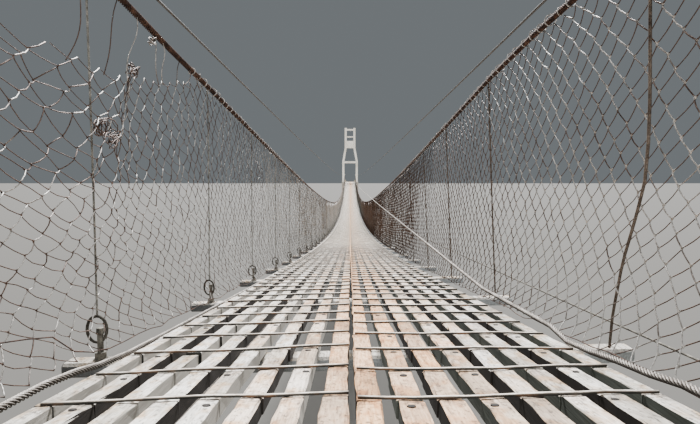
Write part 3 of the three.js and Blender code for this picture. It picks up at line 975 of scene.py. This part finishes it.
# Edge ropes: the left one rests on the first crossbeam and runs notched into the later ones; the right one
# sinks to the first crossbeam, leaves the deck after it, and is straight and taut from there to the far end
edge = {
    "radius": 0.0047,
    "slack": 0.07,
    "leftStations": (-17.4, -16.76, -16.69, -16.62, -16.57, -16.48, -16.3, 17.4),
    "leftRises": (-0.012, -0.0122, -0.0105, -0.0140, -0.0200, -0.0248, -0.0255, -0.0255),
    "rightStations": (-halfSpan, -16.73, -16.67, -16.60, -16.53, -16.45, -16.38, -16.28, -16.08, -15.94),
    "rightRises": (-0.009, 0.001, -0.004, -0.006, -0.0107, -0.0125, 0.0005, 0.0045, 0.0125, 0.018),
}


def makeEdgeRopes():
    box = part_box("right_edge_rope")
    middleX = (box[0].x + box[1].x) / 2
    rightStations, rightRises = edge["rightStations"], edge["rightRises"]
    stations = ropeStations(-halfSpan + 0.001, halfSpan - 0.001, rightStations[1:])
    last, farEnd = rightStations[-1], deckEnd - deck["thickness"] + edge["radius"]
    share = np.clip((stations - last) / (halfSpan - last), 0, 1)
    start = float(deckLevel(last)) + rightRises[-1]
    straight = start + (farEnd - start) * share - 4 * edge["slack"] * share * (1 - share)
    lying = deckLevel(stations) + np.interp(stations, rightStations, rightRises)
    levels = {
        -1: deckLevel(stations) + np.interp(stations, edge["leftStations"], edge["leftRises"]),
        1: np.where(stations < last, lying, straight),
    }
    for name, side in sides:
        piece, node = f"{name}_edge_rope_strands", f"{name}_edge_rope"
        makeRope(piece, side * middleX, levels[side], edge["radius"], stations, wireRope, node)


def makeHandCables():
    block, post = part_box("far_left_anchor_block"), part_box("far_left_post")
    anchorY, anchorZ = block[0].y - 0.001, (block[0].z + block[1].z) / 2
    saddleZ = float(deckLevel(post[0].y)) + deck["handHeight"]

    def handLevel(side, y):  # sagging between the posts, level over them, straight down to the anchors
        away = np.abs(y)
        straight = np.interp(away, (post[0].y, post[1].y, anchorY), (saddleZ, saddleZ, anchorZ))
        return np.where(away < post[0].y, deckLevel(y) + handAbove(side, y), straight)

    corners = (-post[1].y, -post[0].y, post[0].y, post[1].y)
    stations = ropeStations(-anchorY, anchorY, corners)
    for name, side in sides:
        piece, node = f"{name}_hand_cable_strands", f"{name}_hand_cable"
        level = handLevel(side, stations)
        makeRope(piece, side * handX, level, deck["handRadius"], stations, rustySteel, node)


# Thin wires: two upper wires and the right guard rope, each plain and round in a shallow sag
thin = {
    "sags": {"left_upper_wire": 0.179, "right_upper_wire": 0.179, "right_guard_rope": 0.480},
    "guardLower": 0.018,
    "guardRadius": 0.0017,
    "step": 0.15,
}


def makeThinWires():
    for node, sag in thin["sags"].items():
        low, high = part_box(node)
        if "guard" in node:
            radius, lower = thin["guardRadius"], thin["guardLower"]
            material, slotName = dullSteel, "wire_rope"
        else:
            radius, lower = (high.x - low.x) / 2, 0
            material, slotName = wornWire, "net_wire"
        end = high.y - 0.0005
        y = np.linspace(-end, end, int(2 * end / thin["step"]))
        z = high.z - radius - sag * (1 - (y / end) ** 2) - lower
        line = np.stack([np.full_like(y, (low.x + high.x) / 2), y, z], 1)[None]
        surface = bars(line, radius, 6, (0, 0, 1))
        addPiece(f"{node}_round", surface, material, [node])


makeBoards()
makeStrips()
makeCrossbeams()
makeNails()
print("deck made")
makeNet()
makeSelvages()
makeTies()
makeLooseTies()
makeClumps()
makeHangers()
makeShackles()
print("nets made")
makeEdgeRopes()
makeHandCables()
makeThinWires()
print("ropes made")

finishes = {
    "concrete": castConcrete,
    "timber": weatheredTimber,
    "net_wire": galvanisedWire,
    "rusty_steel": rustySteel,
    "wire_rope": wireRope,
}
for part in frame["record"]["subparts"]:
    node = frame["nodes"][part["node"]]
    ground = part["node"].endswith(("abutment", "anchor_block"))
    node.data.materials.clear()
    node.data.materials.append(bareConcrete if ground else finishes[part["material_slot"]])

# Studio: pale floor, even grey surround, two broad soft lamps beyond the far end, left and right, and a weak
# low one from the near end
studio = {
    "floor": "#494743",
    "surround": "#6a6f72",
    "surroundStrength": 1.1,
    "keyStrength": 9.7,
    "fillStrength": 5.8,
    "frontStrength": 3.0,
    "spread": 12.0,
    "tiltAhead": 36.0,
    "tiltAcross": 12.0,
    "tiltFront": 72.0,
}


def makeLamp(name, strength, ahead, across):
    light = bpy.data.lights.new(name, "SUN")
    light.energy = strength
    light.angle = math.radians(studio["spread"])
    lamp = bpy.data.objects.new(name, light)
    lamp.rotation_euler = (math.radians(ahead), math.radians(across), 0)
    bpy.context.scene.collection.objects.link(lamp)


def makeStudio():
    bpy.ops.mesh.primitive_plane_add(size=600, location=(0, 0, 0))
    floor = bpy.context.object
    floor.name = "floor"
    material, tree, shader = newMaterial("paleFloor", 0.9)
    shader.inputs["Base Color"].default_value = hexColour(studio["floor"])
    floor.data.materials.append(material)
    world = bpy.data.worlds.new("studioSurround")
    bpy.context.scene.world = world
    world.use_nodes = True
    background = world.node_tree.nodes["Background"]
    background.inputs["Color"].default_value = hexColour(studio["surround"])
    background.inputs["Strength"].default_value = studio["surroundStrength"]
    makeLamp("keyLamp", studio["keyStrength"], -studio["tiltAhead"], studio["tiltAcross"])
    makeLamp("fillLamp", studio["fillStrength"], -studio["tiltAhead"], -studio["tiltAcross"])
    makeLamp("frontLamp", studio["frontStrength"], studio["tiltFront"], 0)


# Camera: low over the near boards, looking along the bridge
view = {
    "x": -0.003,
    "y": -17.243,
    "aboveDeck": 0.1554,
    "pitch": 3.63,
    "focalPixels": 505.0,
    "frameWidth": 700.0,
}


def makeCamera():
    data = bpy.data.cameras.new("camera")
    data.sensor_width = 36.0
    data.lens = view["focalPixels"] / view["frameWidth"] * data.sensor_width
    data.clip_start = 0.01
    data.clip_end = 500.0
    camera = bpy.data.objects.new("camera", data)
    camera.location = (view["x"], view["y"], float(deckLevel(view["y"])) + view["aboveDeck"])
    camera.rotation_euler = (math.radians(90 - view["pitch"]), 0, 0)
    bpy.context.scene.collection.objects.link(camera)
    bpy.context.scene.camera = camera


makeStudio()
makeCamera()
print("studio made")
